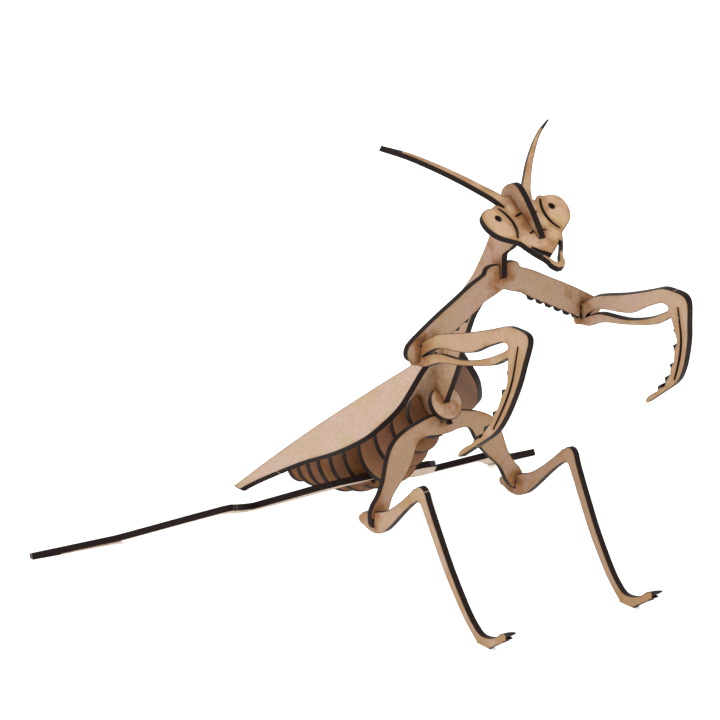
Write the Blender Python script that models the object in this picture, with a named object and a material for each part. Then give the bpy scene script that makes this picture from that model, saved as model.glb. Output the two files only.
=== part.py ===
"""Praying mantis slot-together puzzle model in 3 mm board.  Built in mm, placed in metres.

Mantis looks along -Y, its left is +X, the floor is z = 0.  Every piece is one flat plate: a
2-D outline (limbs, discs and boxes joined, slots and kerfs taken out) swept through the
board thickness.  Plates that cross share a half-lap: each one is slotted to the middle.
"""
import math

import bpy
import numpy as np
from mathutils import Vector
from mathutils.geometry import delaunay_2d_cdt

MM = 0.001
T = 3.0                     # board thickness
FIT = 0.18                  # clearance on each side of a slot
FLAT = 0.55                 # how much of a foot edge is worn to a flat

# ------------------------------------------------------------------ abdomen rings
RING_RADII = (10.6, 12.3, 14.0, 15.6, 16.1, 16.0, 14.7, 12.6, 10.1, 7.3)
RING_FIRST = (96.3, 70.7)   # y, z of the first ring centre, on its front face
RING_TILT = (40.4, 22.0)    # lean of the first ring, and the lean the others settle to
GAP_SLOPE = (40.5, 25.0, 20.8)       # axis slope: front gaps, just past the bend, tail
HIP_RING, RING_NECK = 4, 4.5         # ring that sits in the hip bar, half width of its neck
BEND_AFTER = 3              # the abdomen bends after this many gaps
RING_PITCH = (13.0, 11.9)   # distance between ring centres before and past the bend
SPINE_UP, SPINE_DOWN, RING_LAP = 0.90, 0.36, 0.08    # spine edges and lap depth / radius

# ------------------------------------------------------------------ leaning planes
HEAD_FACE = (3.3, 165.0, 34.8)       # y, z of the chin and slope of the face
ARMS_FACE = (35.3, 0.06)             # front face: y = a + b z
ARCH_FACE = (79.6, 0.09)
DISC = (84.0, 80.0, 8.0, 34.2)       # y, z, radius, lean from upright
SWEEP, DROOP = 2.9, 0.0              # both antennae lean a little to one side
HOOK_PLANE = (69.05, -0.04, -0.17)   # outer face: |x| = a + b y + c z
KNUCKLE, CLAW = 140.0, {-1: 1.055, 1: 1.0}   # height of the knuckle, length ratio of each claw
MID_LEG_PLANE = (41.5, -0.02, 0.04)
WING_NORMAL = (0.8168, 0.0504, 0.5748)
WING_FRONT = (11.4, 95.9, 96.1)      # a point of the straight wing edge, outer face
WING_AHEAD = {-1: 0.0, 1: 9.0}       # how far each wing is pushed forward in its slot
WING_IN = {-1: 0.0, 1: 0.6}
WING_UP = {-1: 0.0, 1: 1.2}
HIND_HIP = (-3.0, 125.0, 33.3)       # middle of the hip's front edge, lower face
HIND_TILT, HIND_YAW = 27.3, -6.4
HIND_REACH = {-1: (103.6, 146.0), 1: (95.8, 119.5)}   # ankle and toe tip from the middle


# ------------------------------------------------------------------ 2-D shapes
def smooth(rows, per=6):
    """Catmull-Rom curve through the rows, any number of columns."""
    r = np.array(rows, float)
    r = np.vstack([2 * r[0] - r[1], r, 2 * r[-1] - r[-2]])
    t = np.linspace(0.0, 1.0, per, endpoint=False)[:, None]
    out = []
    for a, b, c, d in zip(r[:-3], r[1:-2], r[2:-1], r[3:]):
        out.append(0.5 * (2 * b + (c - a) * t + (2 * a - 5 * b + 4 * c - d) * t ** 2
                          + (3 * b - a - 3 * c + d) * t ** 3))
    return np.vstack(out + [r[-2:-1]])


def limb(rows, per=6, ends=("round", "round")):
    """Closed outline around a centre line given as (u, v, half width) rows."""
    s = smooth(rows, per)
    d = np.gradient(s[:, :2], axis=0)
    d /= np.linalg.norm(d, axis=1)[:, None]
    n = np.stack([-d[:, 1], d[:, 0]], 1)
    left = s[:, :2] + n * s[:, 2:3]
    right = (s[:, :2] - n * s[:, 2:3])[::-1]
    return np.vstack([left, cap(s[-1], d[-1], ends[1]), right, cap(s[0], -d[0], ends[0])])


def cap(row, way, kind):
    """Points of a limb end: half a circle, or nothing for a square end."""
    if kind != "round" or row[2] < 0.35:
        return np.zeros((0, 2))
    a0 = math.atan2(way[1], way[0])
    steps = max(3, int(row[2] * 1.6) + 2)
    a = a0 + np.linspace(math.pi / 2, -math.pi / 2, steps + 1)[1:-1]
    return row[:2] + row[2] * np.stack([np.cos(a), np.sin(a)], 1)


def disc(u, v, r, n=40, squash=1.0):
    a = np.arange(n) * 2 * math.pi / n
    return np.stack([u + r * np.cos(a), v + r * squash * np.sin(a)], 1)


def box(u0, v0, u1, v1):
    return np.array([(u0, v0), (u1, v0), (u1, v1), (u0, v1)], float)


def kerf(rows, width, per):
    """A thin line cut through the board, tapering to its ends."""
    k = len(rows) - 1
    half = [width / 2 * (0.55 + 0.45 * math.sin(math.pi * i / k)) for i in range(k + 1)]
    return limb([(u, v, h) for (u, v), h in zip(rows, half)], per, ("square", "square"))


def join(add, cut):
    """Triangles of (union of add) minus (union of cut): points, triangles."""
    pts, faces = [], []
    for poly in list(add) + list(cut):
        p = np.array(poly, float)
        area = np.sum(p[:, 0] * np.roll(p[:, 1], -1) - p[:, 1] * np.roll(p[:, 0], -1))
        p = p if area > 0 else p[::-1]
        faces.append(list(range(len(pts), len(pts) + len(p))))
        pts += [Vector(q) for q in p]
    co, _, tri, _, _, ids = delaunay_2d_cdt(pts, [], faces, 1, 1e-4, True)
    keep = []
    for t, owners in zip(tri, ids):
        solid = any(o < len(add) for o in owners)
        if solid and not any(o >= len(add) for o in owners):
            keep.append(list(t))
    return np.array([tuple(c) for c in co]), keep


# ------------------------------------------------------------------ plates in space
class Frame:
    """Face plane: origin, unit u and v, and the unit direction the board lies in."""

    def __init__(self, origin, u, v, inward):
        self.o = np.array(origin, float)
        self.u = np.array(u, float) / np.linalg.norm(u)
        v = np.array(v, float)
        v = v - self.u * v.dot(self.u)
        self.v = v / np.linalg.norm(v)
        n = np.cross(self.u, self.v)
        self.n = n if n.dot(inward) > 0 else -n

    def at(self, a, b, axes):
        """Plane coordinates of the point whose world axes (i, j) read a, b."""
        m = np.array([[self.u[axes[0]], self.v[axes[0]]], [self.u[axes[1]], self.v[axes[1]]]])
        return tuple(np.linalg.solve(m, np.array([a, b]) - self.o[list(axes)]))

    def poly(self, points, axes):
        return np.array([self.at(a, b, axes) for a, b in points])


XZ, YZ = (0, 2), (1, 2)
PIECES = []


def plate(name, frame, add, cut=(), floor=False):
    """Sweep the 2-D region from the face plane through the board and name the piece."""
    co, tri = join(add, cut)
    used = sorted({i for t in tri for i in t})
    new = {i: k for k, i in enumerate(used)}
    flat = co[used]
    n = len(flat)
    face = frame.o + flat[:, :1] * frame.u + flat[:, 1:] * frame.v
    pts = np.vstack([face, face + T * frame.n])
    if floor:
        pts[pts[:, 2] < FLAT, 2] = 0.0
    flip = np.cross(frame.u, frame.v).dot(frame.n) > 0
    faces, edges = [], set()
    for t in tri:
        a, b, c = (new[i] for i in t)
        faces.append((a, c, b) if flip else (a, b, c))
        faces.append((a + n, b + n, c + n) if flip else (a + n, c + n, b + n))
        edges |= {(a, b), (b, c), (c, a)}
    for a, b in sorted(edges):
        if (b, a) not in edges:
            q = (a, b, b + n, a + n) if flip else (b, a, a + n, b + n)
            faces.append((q[0], q[1], q[2]))
            faces.append((q[0], q[2], q[3]))
    mesh = bpy.data.meshes.new(name)
    mesh.from_pydata([tuple(p * MM) for p in pts], [], faces)
    obj = bpy.data.objects.new(name, mesh)
    bpy.context.scene.collection.objects.link(obj)
    mat = bpy.data.materials.new(name + "_board")
    mat.use_nodes = True
    bsdf = mat.node_tree.nodes["Principled BSDF"]
    bsdf.inputs["Base Color"].default_value = (0.60, 0.45, 0.30, 1.0)
    bsdf.inputs["Roughness"].default_value = 0.7
    mesh.materials.append(mat)
    PIECES.append(obj)
    return obj


# ------------------------------------------------------------------ frames of the plates
def upright(face):
    """Plate across the body, front face y = a + b z, board behind it."""
    return Frame((0, face[0], 0), (1, 0, 0), (0, face[1], 1), (0, 1, 0))


def flank(face, side):
    """Plate along the body on one side, outer face |x| = a + b y + c z, board inside."""
    a, b, c = face
    return Frame((side * a, 0, 0), (side * b, 1, 0), (side * c, 0, 1), (-side, 0, 0))


def ring_places():
    """Centre (y, z), lean and radius of each ring along the axis, which bends down once."""
    y, z = RING_FIRST
    out = []
    for k, r in enumerate(RING_RADII):
        lean = RING_TILT[1] + (RING_TILT[0] - RING_TILT[1]) * math.exp(-k / 3.2)
        out.append((y, z, math.radians(lean), r))
        bent = k >= BEND_AFTER
        past = (k - BEND_AFTER) / (len(RING_RADII) - 2 - BEND_AFTER)
        slope = GAP_SLOPE[1] + (GAP_SLOPE[2] - GAP_SLOPE[1]) * past if bent else GAP_SLOPE[0]
        step = RING_PITCH[1] if bent else RING_PITCH[0]
        y += step * math.cos(math.radians(slope))
        z -= step * math.sin(math.radians(slope))
    return out


RINGS = ring_places()
BODY = Frame((-T / 2, 0, 0), (0, 1, 0), (0, 0, 1), (1, 0, 0))
SLOPE = math.radians(HEAD_FACE[2])
HEAD = Frame((0, HEAD_FACE[0], HEAD_FACE[1]), (1, 0, 0), (0, math.cos(SLOPE), math.sin(SLOPE)),
             (0, math.sin(SLOPE), -math.cos(SLOPE)))
ARMS = upright(ARMS_FACE)
ARCH = upright(ARCH_FACE)
LEAN = math.radians(DISC[3])
DISC_FRAME = Frame((0, DISC[0], DISC[1]), (1, 0, 0), (0, math.sin(LEAN), math.cos(LEAN)),
                   (0, 1, -1))
TILT, YAW = math.radians(HIND_TILT), math.radians(HIND_YAW)
HIND = Frame(HIND_HIP, (math.cos(YAW), math.sin(YAW), 0),
             (-math.sin(YAW) * math.cos(TILT), math.cos(YAW) * math.cos(TILT), -math.sin(TILT)),
             (0, 0.4, 1))


def band(frame, v0, v1, grow=FIT):
    """Cross-section of a plate on the symmetry plane, between heights v0 and v1."""
    o, v, n = frame.o[1:], frame.v[1:], frame.n[1:]
    return np.array([o + v * v0 - n * grow, o + v * v1 - n * grow,
                     o + v * v1 + n * (T + grow), o + v * v0 + n * (T + grow)])


# ------------------------------------------------------------------ levels of the half-laps
HEAD_LAP, ARMS_LAP, DISC_LAP, ARCH_LAP = 17.0, 149.3, 0.0, 70.3
HOOK_LAP, MID_LEG_LAP = 127.5, 34.0


def body_plate():
    """Crest, neck and thorax in one, with the abdomen spine behind."""
    back_disc = DISC_FRAME.o[1:] + DISC_FRAME.n[1:] * (T + FIT)
    slant = DISC_FRAME.v[1:]
    on_back = [tuple(back_disc + slant * s) for s in (0.0, (ARCH_LAP - back_disc[1]) / slant[1])]
    arch_back = ARCH_FACE[0] + ARCH_FACE[1] * ARCH_LAP + T * 1.005 + FIT
    arms_back = ARMS_FACE[0] + ARMS_FACE[1] * ARMS_LAP + T * 1.002 + FIT
    neck_front = [(34.4, 167.2), (36.2, 165.8), (37.8, 164.2), (39.9, 162.7), (41.8, 161.3),
                  (43.1, 159.6), (43.2, ARMS_LAP)]
    front = [(arms_back, ARMS_LAP), (arms_back, 143.5), (54.4, 139.2), (58.2, 134.8),
             (61.6, 130.2), (65.2, 124.7), (68.4, 117.6), (71.6, 109.5), (74.8, 99.8),
             (79.0, 90.3), (83.3, 81.4), (DISC[0] - 0.1, DISC[1])]
    tail = []
    for y, z, slope, r in RINGS:
        e = np.array([math.sin(slope), math.cos(slope)])
        tail.append((np.array([y, z]), e, r))
    last = tail[-1][0] + 4.6 * np.array([math.cos(RINGS[-1][2]), -math.sin(RINGS[-1][2])])
    under = [c - e * r * SPINE_DOWN for c, e, r in tail[1:]] + [last - tail[-1][1] * 2.2]
    over = [c + e * r * SPINE_UP for c, e, r in tail[2:]] + [last + tail[-1][1] * 5.6]
    outline = [HEAD.o[1:] + HEAD.v[1:] * (HEAD_LAP - 0.02) + HEAD.n[1:] * (T + FIT), (24.0, 170.5)]
    outline += neck_front + front + on_back
    outline += [(arch_back, ARCH_LAP), (arch_back - 0.5, 62.5), (95.0, 61.5)]
    outline += [tuple(p) for p in smooth(under, 3)]
    outline += [tuple(p) for p in smooth(over, 3)[::-1]]
    outline += [tuple(p) for p in smooth([(113.5, 74.5), (106.0, 86.5), (97.5, 101.0), (88.0, 116.0),
                                          (77.5, 129.5), (65.7, 143.5), (58.6, 154.6), (53.0, 165.3),
                                          (47.6, 178.5), (44.6, 187.2)], 4)]
    outline += [tuple(p) for p in smooth([(44.2, 188.8), (42.6, 191.3), (39.4, 193.6), (35.9, 194.6),
                                          (33.0, 193.9), (29.6, 191.2), (25.9, 187.3), (21.6, 182.0),
                                          (16.6, 175.0)], 4)]
    outline += [HEAD.o[1:] + HEAD.v[1:] * (HEAD_LAP - 0.02) - HEAD.n[1:] * FIT]
    cuts = [band(HEAD, -20.0, HEAD_LAP + 0.3), band(DISC_FRAME, -14.0, DISC_LAP + 0.3)]
    for (c, e, r), (_, _, slope, _) in zip(tail, RINGS):
        d = np.array([math.cos(slope), -math.sin(slope)])
        top = e * (RING_LAP * r + 0.3)
        low = e * (r + 4.0)
        cuts.append(np.array([c - d * FIT - low, c - d * FIT + top,
                              c + d * (T + FIT) + top, c + d * (T + FIT) - low]))
    plate("body_plate", BODY, [np.array(outline)], cuts)


def head_plate():
    """Heart-shaped face with two eye lobes and the antennae, slotted down its middle."""
    half = [(1.3, 0.2), (2.6, 1.5), (3.7, 3.2), (4.0, 5.0), (4.9, 7.0), (6.3, 8.8), (7.7, 10.9),
            (9.0, 13.1), (10.0, 14.9), (11.6, 17.6), (15.4, 20.2), (18.6, 22.4), (21.1, 25.6),
            (22.5, 29.8), (22.1, 34.0), (20.2, 36.5), (17.0, 37.7), (13.9, 37.7)]
    brow = [(12.6, 38.6), (10.6, 38.2), (8.6, 36.2)]
    right = [tuple(p) for p in smooth(half, 3)] + brow + [(4.5, 42.0), (0.0, 42.0)]
    face = np.array(right + [(-u, v) for u, v in right[::-1][1:]])
    add = [face]
    for s in (-1, 1):
        rows = [(5.4, 38.0, 2.6), (8.2, 43.2, 2.15), (12.9, 49.4, 1.75), (19.6, 57.6, 1.45),
                (27.6, 66.0, 1.15), (34.9, 72.6, 0.85), (43.9, 78.6, 0.4)]
        rows = [(s * u - SWEEP * (u / 44.0) ** 1.3, v - (DROOP + s * SWEEP) * (u / 44.0) ** 1.3, h)
                for u, v, h in rows]
        add.append(limb(rows, 3, ("square", "square")))
    lip = [(0.0, 8.0), (1.0, 8.7), (2.7, 10.0), (4.5, 11.1), (6.2, 12.7), (7.6, 13.9), (7.8, 13.4),
           (6.5, 11.5), (4.9, 9.3), (3.4, 7.6), (2.5, 6.0), (1.8, 4.8), (1.0, 3.8), (0.0, 3.3)]
    mouth = np.array(lip + [(-u, v) for u, v in lip[::-1][1:-1]])
    cut = [box(-T / 2 - FIT, HEAD_LAP, T / 2 + FIT, 60.0), mouth]
    for s in (-1, 1):
        cut.append(kerf([(s * 11.4, 36.6), (s * 9.7, 33.0), (s * 8.9, 28.2), (s * 9.6, 23.6),
                         (s * 11.5, 19.9)], 1.1, 3))
        cut.append(disc(s * 14.6, 31.7, 1.35, 12, 1.15))
        cut.append(kerf([(s * 1.8, 31.6), (s * 3.4, 31.4), (s * 5.8, 30.6)], 0.8, 2))
        cut.append(kerf([(s * 1.8, 21.4), (s * 3.0, 21.0), (s * 4.4, 20.6)], 0.6, 2))
    plate("head_plate", HEAD, add, cut)


def arms_plate():
    """Both upper arms in one: a low chevron with a lobe each side of the neck slot."""
    right = [(0.0, 144.3), (4.8, 142.4), (10.0, 140.6), (13.2, 138.6)]
    pitch, lean = 4.9, 0.545
    for k in range(6):
        u = 14.2 + pitch * k
        v = 138.0 - lean * (u - 14.2)
        right += [(u, v), (u + 0.9, v - 2.1), (u + 2.0, v - 2.0), (u + 2.9, v - lean * 2.9 - 0.1)]
    right += [(43.4, 121.6), (46.9, 120.6)]
    right += [tuple(p) for p in smooth([(50.2, 121.1), (52.6, 122.9), (53.4, 125.6), (52.1, 129.0),
                                        (48.2, 132.0)], 3)]
    right += [(36.6, 138.9), (25.7, 144.7), (17.0, 149.4), (10.9, 152.0), (9.4, 152.9), (8.9, 154.3)]
    right += [(7.3, 155.5), (4.0, 155.9), (1.2, 155.4), (0.0, 155.4)]
    outline = np.array(right + [(-u, v) for u, v in right[::-1][1:-1]])
    cut = [box(-T / 2 - FIT, ARMS_LAP - 0.01, T / 2 + FIT, 170.0)]
    for s in (-1, 1):
        cut.append(hook_slab(s, 100.0, HOOK_LAP + 0.3))
    plate("arms_plate", ARMS, [outline], cut)


def flank_slab(face, across, side, z0, z1):
    """Slot polygon in a plate across the body where a flank plate passes from z0 to z1."""
    a, b, c = face
    fr = upright(across)
    wide = T * math.sqrt(1 + b * b + c * c)
    pts = []
    for z, back, inner in ((z0, 0, 0), (z1, 0, 0), (z1, 1, 1), (z0, 1, 1)):
        y = across[0] + across[1] * z
        x = a + b * (y + (T if back else 0.0)) + c * z
        x += -wide - FIT if inner else FIT
        pts.append((side * x, z))
    return fr.poly(pts, XZ)


def hook_slab(side, z0, z1):
    return flank_slab(HOOK_PLANE, ARMS_FACE, side, z0, z1)


def across_slab(frame, across, z0, z1):
    """Slot polygon in a flank plate where a plate across the body passes from z0 to z1."""
    a, b = across
    pts = [(a + b * z0 - FIT, z0), (a + b * z0 + T * 1.004 + FIT, z0),
           (a + b * z1 + T * 1.004 + FIT, z1), (a + b * z1 - FIT, z1)]
    return frame.poly(pts, YZ)


def hanging(rows, side):
    """Claw rows stretched down from the knuckle; the rows of the fore arm keep their place."""
    ratio = CLAW[side]
    return [(u, KNUCKLE - (KNUCKLE - v) * ratio if v < KNUCKLE and u < 8.5 else v) for u, v in rows]


def hook(side, name):
    """Fore leg: a looped fore arm, and a spined claw with a long slit hanging from it."""
    fr = flank(HOOK_PLANE, side)
    over = [(46.9, 128.6), (43.2, 131.6), (37.6, 135.4), (33.4, 137.7), (28.6, 139.5), (22.4, 141.5),
            (15.4, 143.6), (8.6, 146.0), (1.8, 148.6), (-5.2, 151.4), (-10.6, 153.7), (-14.4, 155.0),
            (-18.4, 155.4), (-23.2, 155.5), (-26.4, 155.2), (-28.5, 154.2), (-29.5, 152.2),
            (-29.5, 149.6), (-28.9, 145.8), (-28.0, 140.8), (-27.2, 135.6), (-25.9, 130.4),
            (-24.1, 125.0), (-22.0, 119.6), (-19.6, 115.0), (-17.5, 111.8), (-14.9, 109.0),
            (-11.0, 105.8), (-3.6, 100.4), (3.8, 95.0), (6.0, 93.5), (7.0, 93.6), (6.8, 95.0),
            (5.2, 96.8), (2.6, 98.8), (-0.4, 100.6)]
    spines = [(-2.0, 102.3), (-2.5, 104.4), (-6.7, 106.9), (-5.3, 104.6), (-6.9, 105.6),
              (-7.8, 107.2), (-7.9, 110.2), (-11.9, 112.5), (-12.4, 115.0), (-13.0, 115.9),
              (-12.1, 117.6), (-15.1, 119.3), (-16.1, 122.6), (-16.7, 125.4), (-16.1, 128.1),
              (-18.8, 129.1), (-19.2, 131.4), (-18.7, 134.3), (-17.5, 136.1), (-18.4, 136.6),
              (-17.8, 139.2)]
    under = [(-17.2, 141.6), (-14.6, 140.0), (-11.0, 137.6), (-7.2, 135.6), (-2.4, 133.9), (4.4, 131.9),
             (11.4, 130.0), (18.2, 128.4), (23.6, 127.4), (28.6, 126.2), (32.2, 124.9), (35.6, 123.2),
             (38.6, 121.8), (41.4, 120.9), (44.6, 120.5), (47.0, 120.0), (49.4, 119.4), (50.6, 120.8),
             (50.4, 123.0), (50.0, 126.2), (48.8, 128.0)]
    loop = [(42.3, 124.9), (40.5, 126.8), (38.2, 128.5), (33.4, 131.2), (27.2, 132.9), (19.8, 134.0),
            (11.8, 135.6), (6.0, 137.8), (-0.5, 141.7), (-7.6, 145.3), (-11.0, 146.8), (-13.8, 147.3),
            (-15.6, 146.8), (-16.1, 145.8), (-15.2, 144.5), (-10.3, 141.4), (-3.2, 137.7), (4.6, 134.6),
            (14.2, 131.9), (23.0, 130.8), (31.2, 129.8), (37.6, 127.4), (40.6, 125.8)]
    slit = [(-22.9, 148.3), (-22.8, 140.5), (-22.5, 133.4), (-20.7, 125.6), (-17.6, 117.6), (-14.5, 111.0)]
    over, spines, slit = hanging(over, side), hanging(spines, side), hanging(slit, side)
    outline = np.vstack([smooth(over, 2), spines, smooth(under, 2)])
    cut = [smooth(loop, 2), kerf(slit, 1.0, 3), across_slab(fr, ARMS_FACE, HOOK_LAP - 0.3, 150.0)]
    plate(name, fr, [outline], cut)


def mid_arch():
    """Both middle thighs in one arch over the floor, bridged in front of the abdomen."""
    bridge = [(0.0, 73.6), (5.0, 74.4), (10.2, 73.7), (14.6, 72.6), (19.0, 71.4), (23.5, 69.5),
              (27.2, 67.0), (30.2, 63.2), (32.4, 57.9), (34.6, 50.4), (37.5, 44.5), (40.6, 40.8),
              (42.4, 37.2), (42.6, 33.0), (42.0, 30.6)]
    inner = [(38.8, 30.4), (35.6, 32.6), (33.3, 36.0), (30.0, 42.9), (24.6, 48.6), (20.4, 53.4),
             (17.6, 58.6), (15.6, 62.8), (13.0, 65.1), (8.0, 65.6), (3.6, 64.9), (0.0, 64.8)]
    right = [tuple(p) for p in smooth(bridge, 3)] + [tuple(p) for p in smooth(inner, 3)]
    outline = np.array(right + [(-u, v) for u, v in right[::-1][1:-1]])
    cut = [box(-T / 2 - FIT, ARCH_LAP * 1.004 - 0.2, T / 2 + FIT, 90.0)]
    for s in (-1, 1):
        cut.append(flank_slab(MID_LEG_PLANE, ARCH_FACE, s, 20.0, MID_LEG_LAP + 0.3))
    plate("mid_arch", ARCH, [outline], cut)


def mid_leg(side, name):
    """Middle shin: from the slotted end up over the knee and down to a two-clawed foot."""
    fr = flank(MID_LEG_PLANE, side)
    thigh = limb([(92.4, 31.5, 2.0), (89.2, 32.2, 3.7), (83.7, 32.4, 4.7), (77.7, 34.5, 4.6),
                  (70.3, 39.2, 3.2), (61.5, 46.6, 2.3), (54.3, 52.8, 2.3), (50.1, 56.0, 2.9)], 2)
    knee = disc(47.0, 56.8, 3.9, 16)
    shin = limb([(46.3, 57.0, 3.4), (43.5, 52.2, 2.6), (36.9, 40.6, 2.4), (28.2, 26.2, 2.25),
                 (17.9, 12.3, 2.0), (11.3, 5.6, 1.9), (6.1, 2.3, 2.2), (0.1, 2.4, 2.3),
                 (-5.7, 5.0, 1.7), (-10.6, 8.2, 2.0)], 3, ("square", "square"))
    sole = box(1.3, 0.0, 8.1, 2.0)
    upper = limb([(-10.2, 8.8, 1.2), (-13.4, 10.4, 1.0), (-16.6, 11.9, 0.45)], 3)
    lower = limb([(-9.9, 7.6, 1.2), (-11.8, 8.0, 0.95), (-14.2, 8.8, 0.4)], 3)
    cut = [across_slab(fr, ARCH_FACE, MID_LEG_LAP - 0.3, 60.0)]
    plate(name, fr, [thigh, knee, shin, sole, upper, lower], cut, floor=True)


def hind_legs():
    """Both hind legs in one V-shaped plate under the abdomen, sloping down to the feet."""
    add = [box(-24.0, 0.8, 24.0, 13.4)]
    for s in (-1, 1):
        ankle, toe = HIND_REACH[s]
        add.append(limb([(s * 19.0, 8.6, 6.9), (s * 24.6, 12.6, 7.7), (s * 31.6, 25.0, 7.3),
                         (s * 38.6, 37.6, 6.6), (s * 43.8, 45.6, 5.9)], 2))
        add.append(limb([(s * 45.0, 46.8, 4.9), (s * 51.8, 42.2, 3.6), (s * 60.6, 34.4, 3.3),
                         (s * 68.4, 27.2, 3.9), (s * 70.8, 25.2, 4.3)], 2))
        add.append(limb([(s * 70.4, 25.0, 4.3), (s * (ankle - 24.5), 35.0, 3.0),
                         (s * (ankle - 14.5), 50.0, 2.5), (s * (ankle - 5.0), 65.0, 2.3),
                         (s * (ankle - 0.6), 70.6, 2.2)], 2))
        add.append(limb([(s * (ankle - 2.4), 69.0, 1.9), (s * (ankle + 1.6), 71.0, 1.75),
                         (s * (ankle + 9.0), 71.6, 1.55), (s * (toe - 12.0), 72.8, 1.45),
                         (s * toe, 73.4, 1.3)], 2, ("square", "square")))
    notch = ring_crossing(HIP_RING)[0] + T + 1.0
    mid = HIND.at(0.0, RINGS[HIP_RING][0], (0, 1))[0]
    cut = [box(mid - RING_NECK - 0.8, -4.0, mid + RING_NECK + 0.8, notch)]
    plate("hind_legs", HIND, add, cut, floor=True)


def ring_crossing(k):
    """Where ring k's front face meets the lower hind face: hind v and ring height e."""
    y, z, slope, _ = RINGS[k]
    m = np.array([[HIND.u[0], HIND.v[0], 0.0], [HIND.u[1], HIND.v[1], -math.sin(slope)],
                  [HIND.u[2], HIND.v[2], -math.cos(slope)]])
    _, v, h = np.linalg.solve(m, np.array([0.0, y, z]) - HIND.o)
    return v, h


def rings():
    """Ten discs stepped along the bending abdomen axis, slotted from above on the spine."""
    for k, (y, z, slope, r) in enumerate(RINGS):
        e = (0, math.sin(slope), math.cos(slope))
        fr = Frame((0, y, z), (1, 0, 0), e, (0, 1, -1))
        cut = [box(-T / 2 - FIT, RING_LAP * r, T / 2 + FIT, r + 2)]
        if k == HIP_RING:
            h = ring_crossing(k)[1]
            for s in (-1, 1):
                cut.append(box(min(s * RING_NECK, s * 30), h - 1.0, max(s * RING_NECK, s * 30),
                               h + T + 1.0))
        plate("ring_%02d" % (k + 1), fr, [disc(0, 0, r, 38)], cut)


def hip_disc():
    r = DISC[2]
    slot = [(-T / 2 - FIT, DISC_LAP), (T / 2 + FIT, DISC_LAP), (T / 2 + FIT, r + 2),
            (-T / 2 - FIT - 2.6, r + 2), (-T / 2 - FIT, r - 4.6)]
    plate("hip_disc", DISC_FRAME, [disc(0, 0, r, 32)], [np.array(slot)])


def wing(side, name):
    """Folded wing: straight upper edge, belly below the middle, narrow cut tail."""
    n = np.array([side * WING_NORMAL[0], WING_NORMAL[1], WING_NORMAL[2]])
    u = np.array([side * 0.3997, 0.6690, -0.6267])
    v = np.array([-side * 0.4161, 0.7416, 0.5262])
    o = np.array([side * (WING_FRONT[0] - WING_IN[side]), WING_FRONT[1], WING_FRONT[2] + WING_UP[side]])
    ahead = WING_AHEAD[side]
    fr = Frame(o - u * ahead, u, v, -n)
    top = smooth([(-14.5, -0.7), (0.0, 0.1), (30.0, 1.4), (62.0, 1.9), (88.0, 1.1), (110.0, -0.3)], 5)
    low = smooth([(106.6, -4.0), (92.8, -6.2), (69.7, -11.5), (52.0, -17.3), (40.0, -20.0),
                  (30.0, -21.0), (21.5, -20.0), (14.0, -18.4), (8.5, -16.2), (3.6, -12.8),
                  (-1.6, -8.8), (-7.2, -5.0), (-14.5, -3.0)], 4)
    gap = T / 2 + 0.3 + T * WING_NORMAL[0] - WING_FRONT[0] + WING_IN[side]
    side_of_body = [((gap + 0.4161 * w) / 0.3997 + ahead, w) for w in (-30.0, 20.0)]
    plate(name, fr, [np.vstack([top, low])],
          [np.array([(-60.0, -30.0)] + side_of_body + [(-60.0, 20.0)])])


def main():
    for obj in list(bpy.data.objects):
        bpy.data.objects.remove(obj, do_unlink=True)
    body_plate()
    head_plate()
    arms_plate()
    hook(-1, "hook_right")
    hook(1, "hook_left")
    mid_arch()
    mid_leg(-1, "mid_leg_right")
    mid_leg(1, "mid_leg_left")
    hind_legs()
    wing(-1, "wing_right")
    wing(1, "wing_left")
    rings()
    hip_disc()
    centre()


def centre():
    """Put the origin under the middle of the bounding box, on the floor."""
    pts = np.array([v.co for o in PIECES for v in o.data.vertices])
    lo, hi = pts.min(0), pts.max(0)
    shift = Vector(((lo[0] + hi[0]) / 2, (lo[1] + hi[1]) / 2, lo[2]))
    for o in PIECES:
        for v in o.data.vertices:
            v.co -= shift
        o.data.update()


main()
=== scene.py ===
import math

import bpy
import numpy as np
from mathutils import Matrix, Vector
from mathutils.bvhtree import BVHTree
from mathutils.geometry import delaunay_2d_cdt


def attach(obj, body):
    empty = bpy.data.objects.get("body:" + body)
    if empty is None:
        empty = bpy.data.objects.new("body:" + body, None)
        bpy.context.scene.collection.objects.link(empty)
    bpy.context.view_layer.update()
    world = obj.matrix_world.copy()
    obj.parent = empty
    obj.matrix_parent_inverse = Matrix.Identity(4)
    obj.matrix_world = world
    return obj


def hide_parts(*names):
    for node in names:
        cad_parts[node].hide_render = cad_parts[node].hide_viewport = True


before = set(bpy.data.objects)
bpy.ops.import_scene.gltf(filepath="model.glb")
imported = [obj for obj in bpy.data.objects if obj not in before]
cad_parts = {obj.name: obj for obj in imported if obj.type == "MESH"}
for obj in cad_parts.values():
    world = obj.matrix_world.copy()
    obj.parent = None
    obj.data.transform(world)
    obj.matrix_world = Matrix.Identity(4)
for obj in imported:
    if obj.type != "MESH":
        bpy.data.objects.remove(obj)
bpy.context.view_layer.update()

# A praying mantis of 3 mm fibreboard, laser cut and slotted together.  Each CAD board gives its
# outline; the board is made anew from it with eased curves, a burnt wall and finished faces.

MM = 0.001
BOARD = 3.0                     # board thickness, mm; so are the other lengths here
SOLE = 0.55                     # foot edges lower than this are worn flat on the floor

# outlines
SPECK = 0.02                    # an edge shorter than this is dropped
CORNER, CORNER_EDGE = 40.0, 0.9     # turn in degrees and edge length that make a true corner
STEP = 0.8                      # spacing of points along a cut edge
THORN = 7.0                     # spurs with a shorter base than this are burnt through
THORN_FOOT, THORN_TIP = 12.0, 40.0  # turns at a spur's foot and tip, degrees

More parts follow.
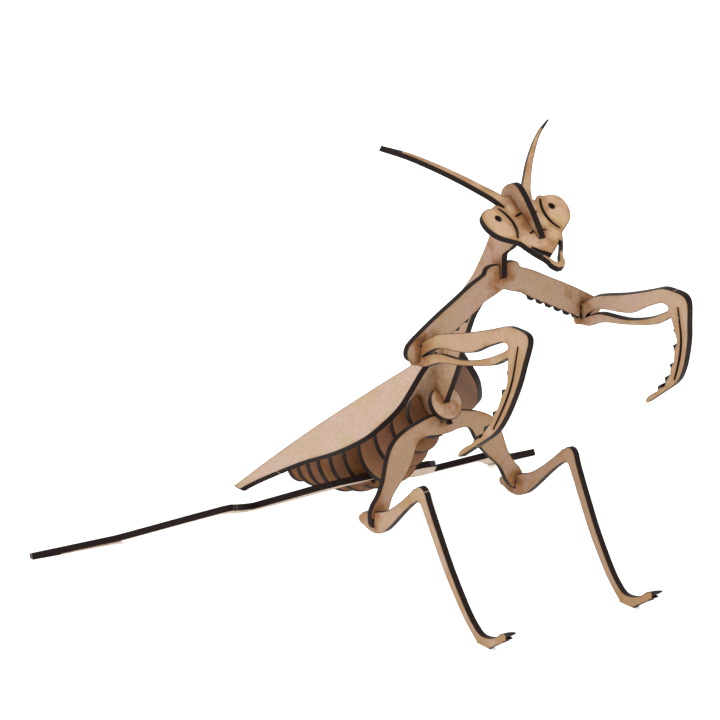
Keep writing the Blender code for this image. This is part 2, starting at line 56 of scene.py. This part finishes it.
# the cut edge and the net of points on a face
ROUND = 0.13                    # the cut edge's rounded arris
RIPPLE = 0.025                  # how far the beam's wander moves the cut edge
INSETS = (0.34, 0.7)            # rows of points behind the arris that carry the burnt margin
BACK_ROW = 1.3                  # the last row behind the arris, at least
GRID, GRID_GAP = 2.1, 1.9       # spacing of the points inside a face, and their gap to a cut
SPUR_GRID, SPUR_GAP = 0.35, 0.2     # the same inside a spur
CREASE = 48.0                   # edges sharper than this stay sharp, degrees

# heat
GLOW = 2.6                      # reach of the heat of a cut
SOOT_AND_SHADE_REACH = 8.0                      # reach of the smoke scorch and painted shade round a joint

# arris and wall of a cut edge: (inset from the outline, depth from the face)
WALL = ((ROUND, 0.0), (0.05, 0.035), (0.0, 0.13), (0.0, 0.7), (0.03, 1.5), (0.05, 2.3),
        (0.06, BOARD - 0.13), (0.10, BOARD - 0.035), (ROUND + 0.04, BOARD))

# face colour (linear), partly painted shade since the tones were matched part by part under this
# light, browning by heat, scorch and painted shade at the joints, and the half width below which a
# strip of wood is burnt through.  A node's own entry goes before its family's.
FINISH_AND_SHADE = {
    "wing": ((0.415, 0.306, 0.232), 0.35, 0.5, 0.0),
    # painted shade: wing_left's inner face is made darker, and takes more scorch and painted
    # shade, for the shade it lies in
    "wing_left": ((0.250, 0.125, 0.062), 0.45, 0.9, 0.0),
    "head": ((0.435, 0.290, 0.185), 0.85, 1.1, 0.6),
    "hook": ((0.376, 0.263, 0.181), 0.62, 1.2, 0.0),
    "hook_right": ((0.356, 0.240, 0.152), 0.75, 1.2, 0.0),
    "body": ((0.345, 0.222, 0.148), 0.50, 1.2, 0.0),
    "arms": ((0.350, 0.236, 0.158), 0.75, 1.6, 0.0),
    "mid": ((0.322, 0.208, 0.128), 0.80, 1.4, 1.3),
    "mid_leg_right": ((0.350, 0.240, 0.158), 0.80, 1.1, 1.3),
    "hip": ((0.400, 0.270, 0.180), 0.70, 1.3, 0.0),
    "hind": ((0.460, 0.360, 0.280), 0.45, 0.5, 0.0),
    # painted shade: the rings are dark, ring_01 and ring_05 most, partly for the shade under the
    # wings and body
    "ring": ((0.285, 0.140, 0.075), 0.60, 1.15, 0.0),
    "ring_01": ((0.205, 0.088, 0.048), 0.60, 1.15, 0.0),
    "ring_05": ((0.200, 0.085, 0.038), 0.60, 1.15, 0.0),
    "ring_07": ((0.315, 0.150, 0.070), 0.60, 1.15, 0.0),
    "ring_09": ((0.300, 0.150, 0.070), 0.60, 1.15, 0.0),
}
SPINED = ("hook", "arms")       # boards whose small spurs are burnt through

# colours of the wood (linear)
ROSY, STRAW = (1.0, 0.965, 1.03), (0.95, 0.94, 0.80)    # two casts that cloud the board
DULL = (0.93, 0.92, 0.91)       # the darker side of the grain
FLECK = (0.16, 0.09, 0.05)      # dark bits of bark in the fibre
BROWNED = (0.270, 0.140, 0.048)     # wood warmed where cuts run close together
SCORCH_AND_SHADE = (0.225, 0.092, 0.026)    # smoke stain round a joint, with painted shade between boards
TAR_AND_SHADE = (0.070, 0.030, 0.013)  # its dark core where two boards touch, partly painted contact shade
MARGIN = (0.085, 0.040, 0.018)  # burnt line along a cut
CHAR = (0.0085, 0.0045, 0.0040)
CHAR_LINE = (0.0160, 0.0100, 0.0085)    # lighter lines across the cut edge
CHAR_ENTRY = (0.032, 0.016, 0.009)      # browner char where the beam came in
ASH = (0.050, 0.038, 0.034)
BARE = (0.330, 0.215, 0.140)    # broken wood of a holding tab
TAB_EVERY, TAB_FROM = 113.0, 37.0   # spacing of the tabs along a cut, and where they start

# camera and light
AIM, DISTANCE = (-50.55, -20.294, 116.9), 2780.0
AROUND, ABOVE = -36.746, 19.649     # camera direction, degrees
LENS, SENSOR = 320.25, 36.0
SKY, KEY, TOP = 1.30, 15.0, 4.0     # strength of the surroundings and the two soft boxes
PAPER_GLOW = 0.28               # light that comes up through the sweep
PAPER_SIZE, PAPER_DROP = 14.0, 0.00005  # half width of the sweep and its gap to the feet, m


# ------------------------------------------------------------------ outlines read from the frame
def welded(node):
    """Corner points in mm and triangles of a CAD node, with its doubled points merged."""
    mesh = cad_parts[node].data
    co = np.zeros(len(mesh.vertices) * 3)
    mesh.vertices.foreach_get("co", co)
    mesh.calc_loop_triangles()
    tri = np.zeros(len(mesh.loop_triangles) * 3, int)
    mesh.loop_triangles.foreach_get("vertices", tri)
    keys, where = np.unique(np.round(co.reshape(-1, 3) / MM, 3), axis=0, return_inverse=True)
    tri = where.reshape(-1)[tri].reshape(-1, 3)
    whole = (tri[:, 0] != tri[:, 1]) & (tri[:, 1] != tri[:, 2]) & (tri[:, 2] != tri[:, 0])
    return keys, tri[whole]


class Board:
    """The plane of one board: origin, unit axes u and v, and n from its face into the wood."""

    def __init__(self, node):
        pts, tri = welded(node)
        a, b, c = pts[tri[:, 0]], pts[tri[:, 1]], pts[tri[:, 2]]
        cross = np.cross(b - a, c - a)
        area = np.linalg.norm(cross, axis=1)
        unit = cross / np.maximum(area, 1e-9)[:, None]
        _, axes = np.linalg.eigh((cross[:, :, None] * unit[:, None, :]).sum(0))
        near = unit @ axes[:, -1]
        facing = np.where(near > 0.999, 1.0, np.where(near < -0.999, -1.0, 0.0))
        normal = (cross * facing[:, None]).sum(0)
        normal /= np.linalg.norm(normal)
        lowest = [pts[tri[side * near > 0.9]].min(axis=(0, 1))[2] for side in (1, -1)]
        if lowest[0] < lowest[1]:
            normal, near = -normal, -near
        face = tri[near > 0.9]
        self.n = -normal
        self.o = pts[face[np.argmax(area[near > 0.9])][0]]
        side = np.cross(normal, (0.0, 0.0, 1.0) if abs(normal[2]) < 0.9 else (0.0, 1.0, 0.0))
        self.u = side / np.linalg.norm(side)
        self.v = np.cross(normal, self.u)
        self.loops = [np.stack([(pts[ring] - self.o) @ self.u, (pts[ring] - self.o) @ self.v], 1)
                      for ring in rings_of(face)]

    def place(self, flat, depth=0.0):
        """Points in space of plane points (x, y) at a depth in the wood."""
        depth = np.broadcast_to(depth, (len(flat),))
        return self.o + flat[:, :1] * self.u + flat[:, 1:] * self.v + depth[:, None] * self.n


def rings_of(tri):
    """Closed loops of the edges that only one triangle has, in the triangles' own sense."""
    edges = {(int(a), int(b)) for t in tri for a, b in zip(t, np.roll(t, -1))}
    after = {a: b for a, b in edges if (b, a) not in edges}
    rings = []
    while after:
        start, here = after.popitem()
        ring = [start]
        while here != start:
            ring.append(here)
            here = after.pop(here)
        rings.append(ring)
    return rings


def eased(loop):
    """The outline as curves: a cubic through each run of points between two true corners.

    Each edge becomes a Hermite cubic whose end slopes are the chords of the neighbouring
    points, or the edge itself at a corner, with points about STEP apart.
    """
    along = np.roll(loop, -1, 0) - loop
    length = np.linalg.norm(along, axis=1)
    loop = loop[length > SPECK]
    along = np.roll(loop, -1, 0) - loop
    length = np.linalg.norm(along, axis=1)
    unit = along / length[:, None]
    back = np.roll(unit, 1, 0)
    turn = np.degrees(np.arccos(np.clip((unit * back).sum(1), -1, 1)))
    sharp = (turn > CORNER) & (np.maximum(length, np.roll(length, 1)) > CORNER_EDGE)
    chord = np.roll(loop, -1, 0) - np.roll(loop, 1, 0)
    chord /= np.maximum(np.linalg.norm(chord, axis=1), 1e-9)[:, None]
    leave = np.where(sharp[:, None], unit, chord)
    arrive = np.roll(np.where(sharp[:, None], back, chord), -1, 0)
    steps = np.maximum(1, np.ceil(length / STEP)).astype(int)
    edge = np.repeat(np.arange(len(loop)), steps)
    first = np.repeat(np.cumsum(steps) - steps, steps)
    t = ((np.arange(len(edge)) - first) / steps[edge])[:, None]
    p0, p1 = loop[edge], np.roll(loop, -1, 0)[edge]
    m0, m1 = leave[edge] * length[edge, None], arrive[edge] * length[edge, None]
    return (p0 * (2 * t ** 3 - 3 * t ** 2 + 1) + m0 * (t ** 3 - 2 * t ** 2 + t)
            + p1 * (3 * t ** 2 - 2 * t ** 3) + m1 * (t ** 3 - t ** 2))


def inward(loop):
    """Mitred direction into the wood at each point: the mean of the two edge normals, made
    long enough at a corner for both edges to move by the same amount."""
    ahead = np.roll(loop, -1, 0) - loop
    ahead /= np.maximum(np.linalg.norm(ahead, axis=1), 1e-9)[:, None]
    left = np.stack([-ahead[:, 1], ahead[:, 0]], 1)
    both = left + np.roll(left, 1, 0)
    return both * 2 / np.maximum((both ** 2).sum(1), 1.0)[:, None]


def wander(s, seed):
    """Small sum of sines along a cut: the beam's wander, from -1 to 1."""
    waves = np.array([0.9, 1.7, 3.1, 5.3])
    phase = np.array([0.0, 1.3, 2.6, 4.1]) + seed
    return np.sin(s[:, None] * waves + phase).sum(1) / 4


def thorns(loop):
    """Small spurs of an outline: a sharp outer corner with an inner corner close on each side."""
    ahead = np.roll(loop, -1, 0) - loop
    way = np.arctan2(ahead[:, 1], ahead[:, 0])
    turn = (np.degrees(way - np.roll(way, 1)) + 180) % 360 - 180
    found = []
    for start in range(len(loop)):
        for count in (3, 4):
            run = (start + np.arange(count)) % len(loop)
            ends, mid = turn[run[[0, -1]]], turn[run[1:-1]]
            base = np.linalg.norm(loop[run[0]] - loop[run[-1]])
            pointed = ends.max() < -THORN_FOOT and mid.min() > 0 and mid.max() > THORN_TIP
            if pointed and base < THORN:
                found.append(loop[run])
    return found


def within(points, polygon):
    """Even-odd test: which points lie inside a closed polygon."""
    inside = np.zeros(len(points), bool)
    for a, b in zip(polygon, np.roll(polygon, -1, 0)):
        level = (a[1] > points[:, 1]) != (b[1] > points[:, 1])
        across = a[0] + (points[:, 1] - a[1]) * (b[0] - a[0]) / (b[1] - a[1] + 1e-12)
        inside ^= level & (points[:, 0] < across)
    return inside


# ------------------------------------------------------------------ heat, and scorch with painted shade
def finish_and_shade(node):
    """The node's own finish and painted shade, or its family's."""
    return FINISH_AND_SHADE.get(node) or FINISH_AND_SHADE[node.split("_")[0]]


def heat(points, cuts):
    """Distance to the nearest cut, and how much cutting went on nearby: a Gaussian sum over
    the outline's points, 1 on a straight edge and more in corners and between cuts."""
    reach, dose = np.zeros(len(points)), np.zeros(len(points))
    for k in range(0, len(points), 400):
        d = np.linalg.norm(points[k:k + 400, None, :] - cuts[None, :, :], axis=2)
        reach[k:k + 400] = d.min(1)
        dose[k:k + 400] = np.exp(-(d / GLOW) ** 2).sum(1) * STEP / (GLOW * math.sqrt(math.pi))
    return reach, dose


def spur(points, reach, half):
    """How far a point is outside every disc of radius half that fits in the wood, in mm."""
    core = points[reach > half * 0.97]
    if half == 0 or not len(core):
        return np.zeros(len(points))
    return np.maximum(heat(points, core)[0] - half, 0.0)


def others_tree(node):
    """Search tree over every CAD node but one; a ring leaves out all the rings."""
    verts, faces = [], []
    for name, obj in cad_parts.items():
        if name != node and not (name.startswith("ring") and node.startswith("ring")):
            base = len(verts)
            verts += [v.co.copy() for v in obj.data.vertices]
            faces += [[base + i for i in p.vertices] for p in obj.data.polygons]
    return BVHTree.FromPolygons(verts, faces)


def soot_and_shade(points, tree):
    """Scorch and painted shade between boards: fading with the distance to the nearest other
    board, from 1 where they touch.
    """
    far = [tree.find_nearest(Vector(p * MM), 3 * SOOT_AND_SHADE_REACH * MM)[3] for p in points]
    return np.array([0.0 if d is None else math.exp(-d / MM / SOOT_AND_SHADE_REACH) for d in far])


# ------------------------------------------------------------------ one board's surface
def signed_area(ring):
    """Area inside a closed outline, positive when it runs anticlockwise."""
    x, y = ring[:, 0], ring[:, 1]
    return 0.5 * (x * np.roll(y, -1) - y * np.roll(x, -1)).sum()


def face_net(rims, half, spurs):
    """Triangles between the outer rim and the holes, over rows behind each edge, an even grid
    and a finer one in the spurs: plane points, triangles, each point's place in the rims or -1."""
    cuts = np.vstack(rims)
    low, high = cuts.min(0), cuts.max(0)
    gx, gy = np.meshgrid(np.arange(low[0], high[0], GRID),
                         np.arange(low[1], high[1], GRID * 0.87))
    gx = gx + (np.arange(len(gx)) % 2 * GRID / 2)[:, None]
    clouds = [(np.stack([gx.ravel(), gy.ravel()], 1), GRID_GAP)]
    clouds += [(rim + inward(rim) * inset, inset * 0.85) for rim in rims
               for inset in INSETS + (max(half, BACK_ROW),)]
    for spike in spurs:
        (x0, y0), (x1, y1) = spike.min(0) - 0.6, spike.max(0) + 0.6
        fine = np.meshgrid(np.arange(x0, x1, SPUR_GRID), np.arange(y0, y1, SPUR_GRID))
        clouds.append((np.stack(fine, 2).reshape(-1, 2), SPUR_GAP))
    inside = [cloud[heat(cloud, cuts)[0] > gap] for cloud, gap in clouds]
    starts = np.cumsum([0] + [len(rim) for rim in rims])
    faces = [list(range(a, b)) for a, b in zip(starts[:-1], starts[1:])]
    faces = [f if signed_area(rim) > 0 else f[::-1] for f, rim in zip(faces, rims)]
    pts = [Vector(p) for p in np.vstack([cuts] + inside)]
    co, _, tri, from_verts, _, owners = delaunay_2d_cdt(pts, [], faces, 1, 1e-6, True)
    solid = np.array([t for t, own in zip(tri, owners) if len(own) == 1 and own[0] == 0])
    used, solid = np.unique(solid, return_inverse=True)
    rim_place = [min(from_verts[i], default=-1) for i in used]
    rim_place = np.array([p if p < starts[-1] else -1 for p in rim_place])
    return np.array([tuple(co[i]) for i in used]), solid.reshape(-1, 3), rim_place


def cut_board(node):
    """A board as the laser leaves it: two flat faces and a wall carried along each outline.

    The wall is the profile WALL swept along the eased outline; u of its map runs along the
    cut in mm and v through the board.  Every point carries reach, dose, nearness to other boards
    for scorch and painted shade, and spur.
    """
    board = Board(node)
    half = finish_and_shade(node)[3]
    spurs = [t for ring in board.loops for t in thorns(ring)] if node.startswith(SPINED) else []
    outlines = sorted((eased(ring) for ring in board.loops), key=lambda r: -abs(signed_area(r)))
    verts, faces, uvs, first_row, last_row, rim_flat = [], [], [], [], [], ([], [])
    count, m = 0, len(WALL)
    for k, ring in enumerate(outlines):
        n, into = len(ring), inward(ring)
        step = np.linalg.norm(np.roll(ring, -1, 0) - ring, axis=1)
        s = np.concatenate([[0.0], np.cumsum(step)])
        sway = wander(s[:-1], k * 1.7 + n) * RIPPLE
        for inset, depth in WALL:
            push = inset + sway * (ROUND <= depth <= BOARD - ROUND)
            verts.append(board.place(ring + into * push[:, None], depth))
        for rims, (inset, _) in zip(rim_flat, (WALL[0], WALL[-1])):
            rims.append(ring + into * inset)
        first_row.append(count + np.arange(n))
        last_row.append(count + (m - 1) * n + np.arange(n))
        a = count + np.arange(m - 1)[:, None] * n + np.arange(n)
        b = count + np.arange(m - 1)[:, None] * n + (np.arange(n) + 1) % n
        faces.append(np.stack([a + n, b + n, b, a], 2).reshape(-1, 4))
        across = np.array([depth for _, depth in WALL])
        s0, s1 = np.broadcast_to(s[:-1], (m - 1, n)), np.broadcast_to(s[1:], (m - 1, n))
        v0 = np.broadcast_to(across[:-1, None], (m - 1, n))
        v1 = np.broadcast_to(across[1:, None], (m - 1, n))
        uvs.append(np.stack([s0, v1, s1, v1, s1, v0, s0, v0], 2).reshape(-1, 2))
        count += n * m
    walls = np.vstack(faces)
    cuts = np.vstack(outlines)
    tree = others_tree(node)
    tris = []
    marks = [np.zeros((count, 4))]
    for side, depth in ((0, 0.0), (1, BOARD)):
        net, tri, rim_place = face_net(rim_flat[side], half, spurs)
        fresh = rim_place < 0
        index = np.concatenate(first_row if side == 0 else last_row)[np.maximum(rim_place, 0)]
        index[fresh] = count + np.arange(fresh.sum())
        reach, dose = heat(net, cuts)
        burnt = np.max([spur(net, reach, half)] + [within(net, t) * 1.0 for t in spurs], axis=0)
        mark = np.stack([reach, dose, soot_and_shade(board.place(net, depth), tree), burnt], 1)
        marks[0][index[~fresh]] = mark[~fresh]
        marks.append(mark[fresh])
        verts.append(board.place(net[fresh], depth))
        tris.append(index[tri if side == 0 else tri[:, ::-1]])
        uvs.append(net[(tri if side == 0 else tri[:, ::-1]).ravel()])
        count += int(fresh.sum())
    return np.vstack(verts), walls, np.vstack(tris), np.vstack(uvs), np.vstack(marks)


def make_piece(name, verts, polygons, uvs, slots, marks, materials):
    """A mesh object from arrays of points (mm), faces, map corners, slots and point marks."""
    mesh = bpy.data.meshes.new(name)
    mesh.from_pydata((verts * MM).tolist(), [], polygons)
    mesh.uv_layers.new(name="cut").data.foreach_set("uv", np.asarray(uvs, np.float32).ravel())
    for k, label in enumerate(("reach", "dose", "soot_and_shade", "spur")):
        layer = mesh.attributes.new(label, "FLOAT", "POINT")
        layer.data.foreach_set("value", marks[:, k].astype(np.float32))
    for material in materials:
        mesh.materials.append(material)
    mesh.polygons.foreach_set("material_index", np.asarray(slots, np.int32))
    mesh.shade_smooth()
    mesh.set_sharp_from_angle(angle=math.radians(CREASE))
    piece = bpy.data.objects.new(name, mesh)
    bpy.context.scene.collection.objects.link(piece)
    return piece


def board_piece(node, edge):
    """The finished board that stands for one CAD node."""
    verts, walls, tris, uvs, marks = cut_board(node)
    if node.startswith(("mid_leg", "hind")):
        verts[verts[:, 2] < SOLE, 2] = 0.0
    polygons = walls.tolist() + tris.tolist()
    slots = [1] * len(walls) + [0] * len(tris)
    piece = make_piece(node + "_cut", verts, polygons, uvs, slots, marks, (face_wood(node), edge))
    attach(piece, "root")
    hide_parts(node)
    return piece


# ------------------------------------------------------------------ materials
class Nodes:
    """Short names for building one material's node tree."""

    def __init__(self, name):
        self.material = bpy.data.materials.new(name)
        self.material.use_nodes = True
        self.tree = self.material.node_tree
        self.shader = self.tree.nodes["Principled BSDF"]

    def add(self, kind, **settings):
        node = self.tree.nodes.new(kind)
        for key, value in settings.items():
            setattr(node, key, value)
        return node

    def feed(self, socket, value):
        if isinstance(value, bpy.types.NodeSocket):
            self.tree.links.new(value, socket)
        else:
            socket.default_value = value

    def math(self, operation, a, b=0.0, clamp=False):
        node = self.add("ShaderNodeMath", operation=operation, use_clamp=clamp)
        self.feed(node.inputs[0], a)
        self.feed(node.inputs[1], b)
        return node.outputs[0]

    def span(self, value, low, high, to_low=0.0, to_high=1.0):
        node = self.add("ShaderNodeMapRange", interpolation_type="SMOOTHSTEP")
        for socket, v in zip(node.inputs, (value, low, high, to_low, to_high)):
            self.feed(socket, v)
        return node.outputs[0]

    def mix(self, amount, a, b, kind="MIX"):
        node = self.add("ShaderNodeMix", data_type="RGBA", blend_type=kind)
        self.feed(node.inputs[0], amount)
        self.feed(node.inputs[6], a)
        self.feed(node.inputs[7], b)
        return node.outputs[2]

    def attribute(self, name):
        return self.add("ShaderNodeAttribute", attribute_name=name).outputs["Fac"]

    def noise(self, where, scale, detail=4.0, rough=0.55, stretch=(1, 1, 1), offset=0.0):
        place = self.add("ShaderNodeMapping")
        self.feed(place.inputs["Vector"], where)
        place.inputs["Scale"].default_value = stretch
        place.inputs["Location"].default_value = (offset, offset * 0.7, -offset * 0.4)
        node = self.add("ShaderNodeTexNoise")
        self.feed(node.inputs["Vector"], place.outputs[0])
        for key, value in (("Scale", scale), ("Detail", detail), ("Roughness", rough)):
            node.inputs[key].default_value = value
        return node.outputs["Fac"]

    def bump(self, height, depth, below=None):
        node = self.add("ShaderNodeBump")
        node.inputs["Strength"].default_value = 1.0
        node.inputs["Distance"].default_value = depth
        self.feed(node.inputs["Height"], height)
        if below is not None:
            self.feed(node.inputs["Normal"], below)
        return node.outputs[0]


def rgba(colour, gain=1.0):
    """A colour times a gain, with full alpha."""
    return tuple(c * gain for c in colour) + (1.0,)


def face_wood(node):
    """Pressed fibre: fine light and dark fibres over a pale tan, which carries painted shade on
    the darker boards, browned where the cuts were close, smoke-stained and darkened by painted
    shade round the joints, charred in a thin margin and in small spurs."""
    tan, browning, shade_and_scorch_amount, _ = finish_and_shade(node)
    m = Nodes(node + "_face")
    here = m.add("ShaderNodeTexCoord").outputs["Object"]
    seed = float(sorted(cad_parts).index(node)) * 0.037
    fibre = m.noise(here, 1300.0, 5.0, 0.75, offset=seed)
    grain = m.noise(here, 420.0, 4.0, 0.65, offset=seed + 0.2)
    cloud = m.noise(here, 62.0, 4.0, 0.6, offset=seed + 0.5)
    fleck = m.noise(here, 520.0, 2.0, 0.5, offset=seed + 0.9)
    smoke = m.noise(here, 105.0, 5.0, 0.62, offset=seed + 1.3)
    wood = m.mix(m.span(fibre, 0.3, 0.7), rgba(tan, 0.84), rgba(tan, 1.13))
    wood = m.mix(m.span(grain, 0.3, 0.7), m.mix(1.0, wood, rgba(DULL), "MULTIPLY"), wood)
    rosy = m.mix(1.0, wood, rgba(ROSY), "MULTIPLY")
    straw = m.mix(1.0, wood, rgba(STRAW), "MULTIPLY")
    wood = m.mix(m.span(cloud, 0.35, 0.68), rosy, straw)
    wood = m.mix(m.span(fleck, 0.68, 0.76, 0.0, 0.45), wood, rgba(FLECK))
    dose, reach = m.attribute("dose"), m.attribute("reach")
    patch = m.math("SUBTRACT", smoke, 0.5)
    heated = m.math("ADD", m.math("MULTIPLY", dose, 0.46), m.math("MULTIPLY", patch, 2.0))
    warm = m.math("MULTIPLY", m.span(heated, 0.28, 0.95), browning, True)
    wood = m.mix(warm, wood, rgba(BROWNED))
    # painted shade: the face darkens near other boards, smoke scorch mixed with the shade that
    # falls between them
    near = m.math("ADD", m.attribute("soot_and_shade"), m.math("MULTIPLY", patch, 2.2))
    joint_stain_and_shade = m.math("MULTIPLY", m.span(near, 0.34, 0.98), shade_and_scorch_amount * 0.80, True)
    wood = m.mix(joint_stain_and_shade, wood, rgba(SCORCH_AND_SHADE))
    tar_and_contact_shade = m.math("MULTIPLY", m.span(near, 0.76, 1.25), shade_and_scorch_amount * 0.55, True)
    wood = m.mix(tar_and_contact_shade, wood, rgba(TAR_AND_SHADE))
    margin = m.span(reach, ROUND, 0.62, 0.80, 0.0)
    wood = m.mix(margin, wood, rgba(MARGIN))
    wood = m.mix(m.span(m.attribute("spur"), 0.10, 0.45), wood, rgba(CHAR, 0.7))
    m.feed(m.shader.inputs["Base Color"], wood)
    m.feed(m.shader.inputs["Roughness"], m.span(fibre, 0.3, 0.7, 0.60, 0.78))
    m.shader.inputs["Specular IOR Level"].default_value = 0.28
    m.feed(m.shader.inputs["Normal"], m.bump(fibre, 0.00003, m.bump(cloud, 0.00008)))
    return m.material


def charred_edge():
    """A laser-cut edge: near-black char with fine lines across the board, browner where the
    beam came in, a little ash, and a narrow bare break at each holding tab."""
    m = Nodes("charred_edge")
    cut = m.add("ShaderNodeTexCoord").outputs["UV"]
    here = m.add("ShaderNodeTexCoord").outputs["Object"]
    lines = m.noise(cut, 1.0, 3.0, 0.6, (4.5, 0.35, 1.0))
    broad = m.noise(cut, 1.0, 2.0, 0.5, (0.22, 0.5, 1.0))
    dust = m.noise(here, 900.0, 3.0, 0.6)
    across = m.add("ShaderNodeSeparateXYZ")
    m.feed(across.inputs[0], cut)
    entry = m.span(across.outputs[1], 0.05, 0.7, 0.7, 0.0)
    char = m.mix(m.span(lines, 0.35, 0.75), rgba(CHAR), rgba(CHAR_LINE))
    char = m.mix(m.math("MULTIPLY", entry, m.span(broad, 0.35, 0.7)), char, rgba(CHAR_ENTRY))
    char = m.mix(m.span(dust, 0.6, 0.75, 0.0, 0.22), char, rgba(ASH))
    beat = m.math("MODULO", m.math("ADD", across.outputs[0], TAB_FROM), TAB_EVERY)
    tab = m.math("MULTIPLY", m.span(beat, 0.0, 0.12), m.span(beat, 0.5, 0.62, 1.0, 0.0))
    char = m.mix(m.math("MULTIPLY", tab, 0.75), char, rgba(BARE))
    m.feed(m.shader.inputs["Base Color"], char)
    m.feed(m.shader.inputs["Roughness"], m.span(lines, 0.3, 0.7, 0.46, 0.66))
    m.shader.inputs["Specular IOR Level"].default_value = 0.07
    m.feed(m.shader.inputs["Normal"], m.bump(lines, 0.00006))
    return m.material


# ------------------------------------------------------------------ camera, lights and floor
def camera():
    """A long lens from the front right of the mantis, a little above it: AROUND turns from
    straight ahead of it and ABOVE rises from the floor."""
    around, above = math.radians(AROUND), math.radians(ABOVE)
    back = Vector((math.sin(around) * math.cos(above), -math.cos(around) * math.cos(above),
                   math.sin(above)))
    data = bpy.data.cameras.new("camera")
    data.lens, data.sensor_width = LENS, SENSOR
    data.clip_start, data.clip_end = 0.05, 60.0
    obj = bpy.data.objects.new("camera", data)
    obj.location = Vector(AIM) * MM + back * DISTANCE * MM
    obj.rotation_euler = back.to_track_quat("Z", "Y").to_euler()
    bpy.context.scene.collection.objects.link(obj)
    bpy.context.scene.camera = obj


def soft_box(name, place, target, size, power):
    """A round area light that looks at a point."""
    data = bpy.data.lights.new(name, "AREA")
    data.shape, data.size, data.energy = "DISK", size, power
    obj = bpy.data.objects.new(name, data)
    obj.location = place
    obj.rotation_euler = (Vector(place) - Vector(target)).to_track_quat("Z", "Y").to_euler()
    bpy.context.scene.collection.objects.link(obj)


def studio():
    """White sweep lit a little from below, white surroundings and two large soft boxes."""
    mesh = bpy.data.meshes.new("floor")
    r, z = PAPER_SIZE, -PAPER_DROP
    mesh.from_pydata([(-r, -r, z), (r, -r, z), (r, r, z), (-r, r, z)], [], [(0, 1, 2, 3)])
    m = Nodes("floor_paper")
    here = m.add("ShaderNodeTexCoord").outputs["Object"]
    m.feed(m.shader.inputs["Base Color"],
           m.mix(m.noise(here, 3.0), (0.955, 0.955, 0.955, 1.0), (0.965, 0.965, 0.965, 1.0)))
    m.shader.inputs["Roughness"].default_value = 0.9
    m.shader.inputs["Specular IOR Level"].default_value = 0.1
    m.shader.inputs["Emission Color"].default_value = (1.0, 1.0, 1.0, 1.0)
    m.shader.inputs["Emission Strength"].default_value = PAPER_GLOW
    mesh.materials.append(m.material)
    floor = bpy.data.objects.new("floor", mesh)
    bpy.context.scene.collection.objects.link(floor)
    world = bpy.data.worlds.new("studio")
    world.use_nodes = True
    world.node_tree.nodes["Background"].inputs[0].default_value = (1.0, 1.0, 1.0, 1.0)
    world.node_tree.nodes["Background"].inputs[1].default_value = SKY
    bpy.context.scene.world = world
    soft_box("key", (-1.7, -0.7, 1.9), (0, 0, 0.08), 1.3, KEY)
    soft_box("top", (0.3, 0.5, 2.2), (0, 0, 0.05), 1.6, TOP)
    view = bpy.context.scene.view_settings
    view.view_transform, view.look, view.exposure, view.gamma = "Standard", "None", 0.0, 1.0


edge = charred_edge()
for node in sorted(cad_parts):
    board_piece(node, edge)
camera()
studio()
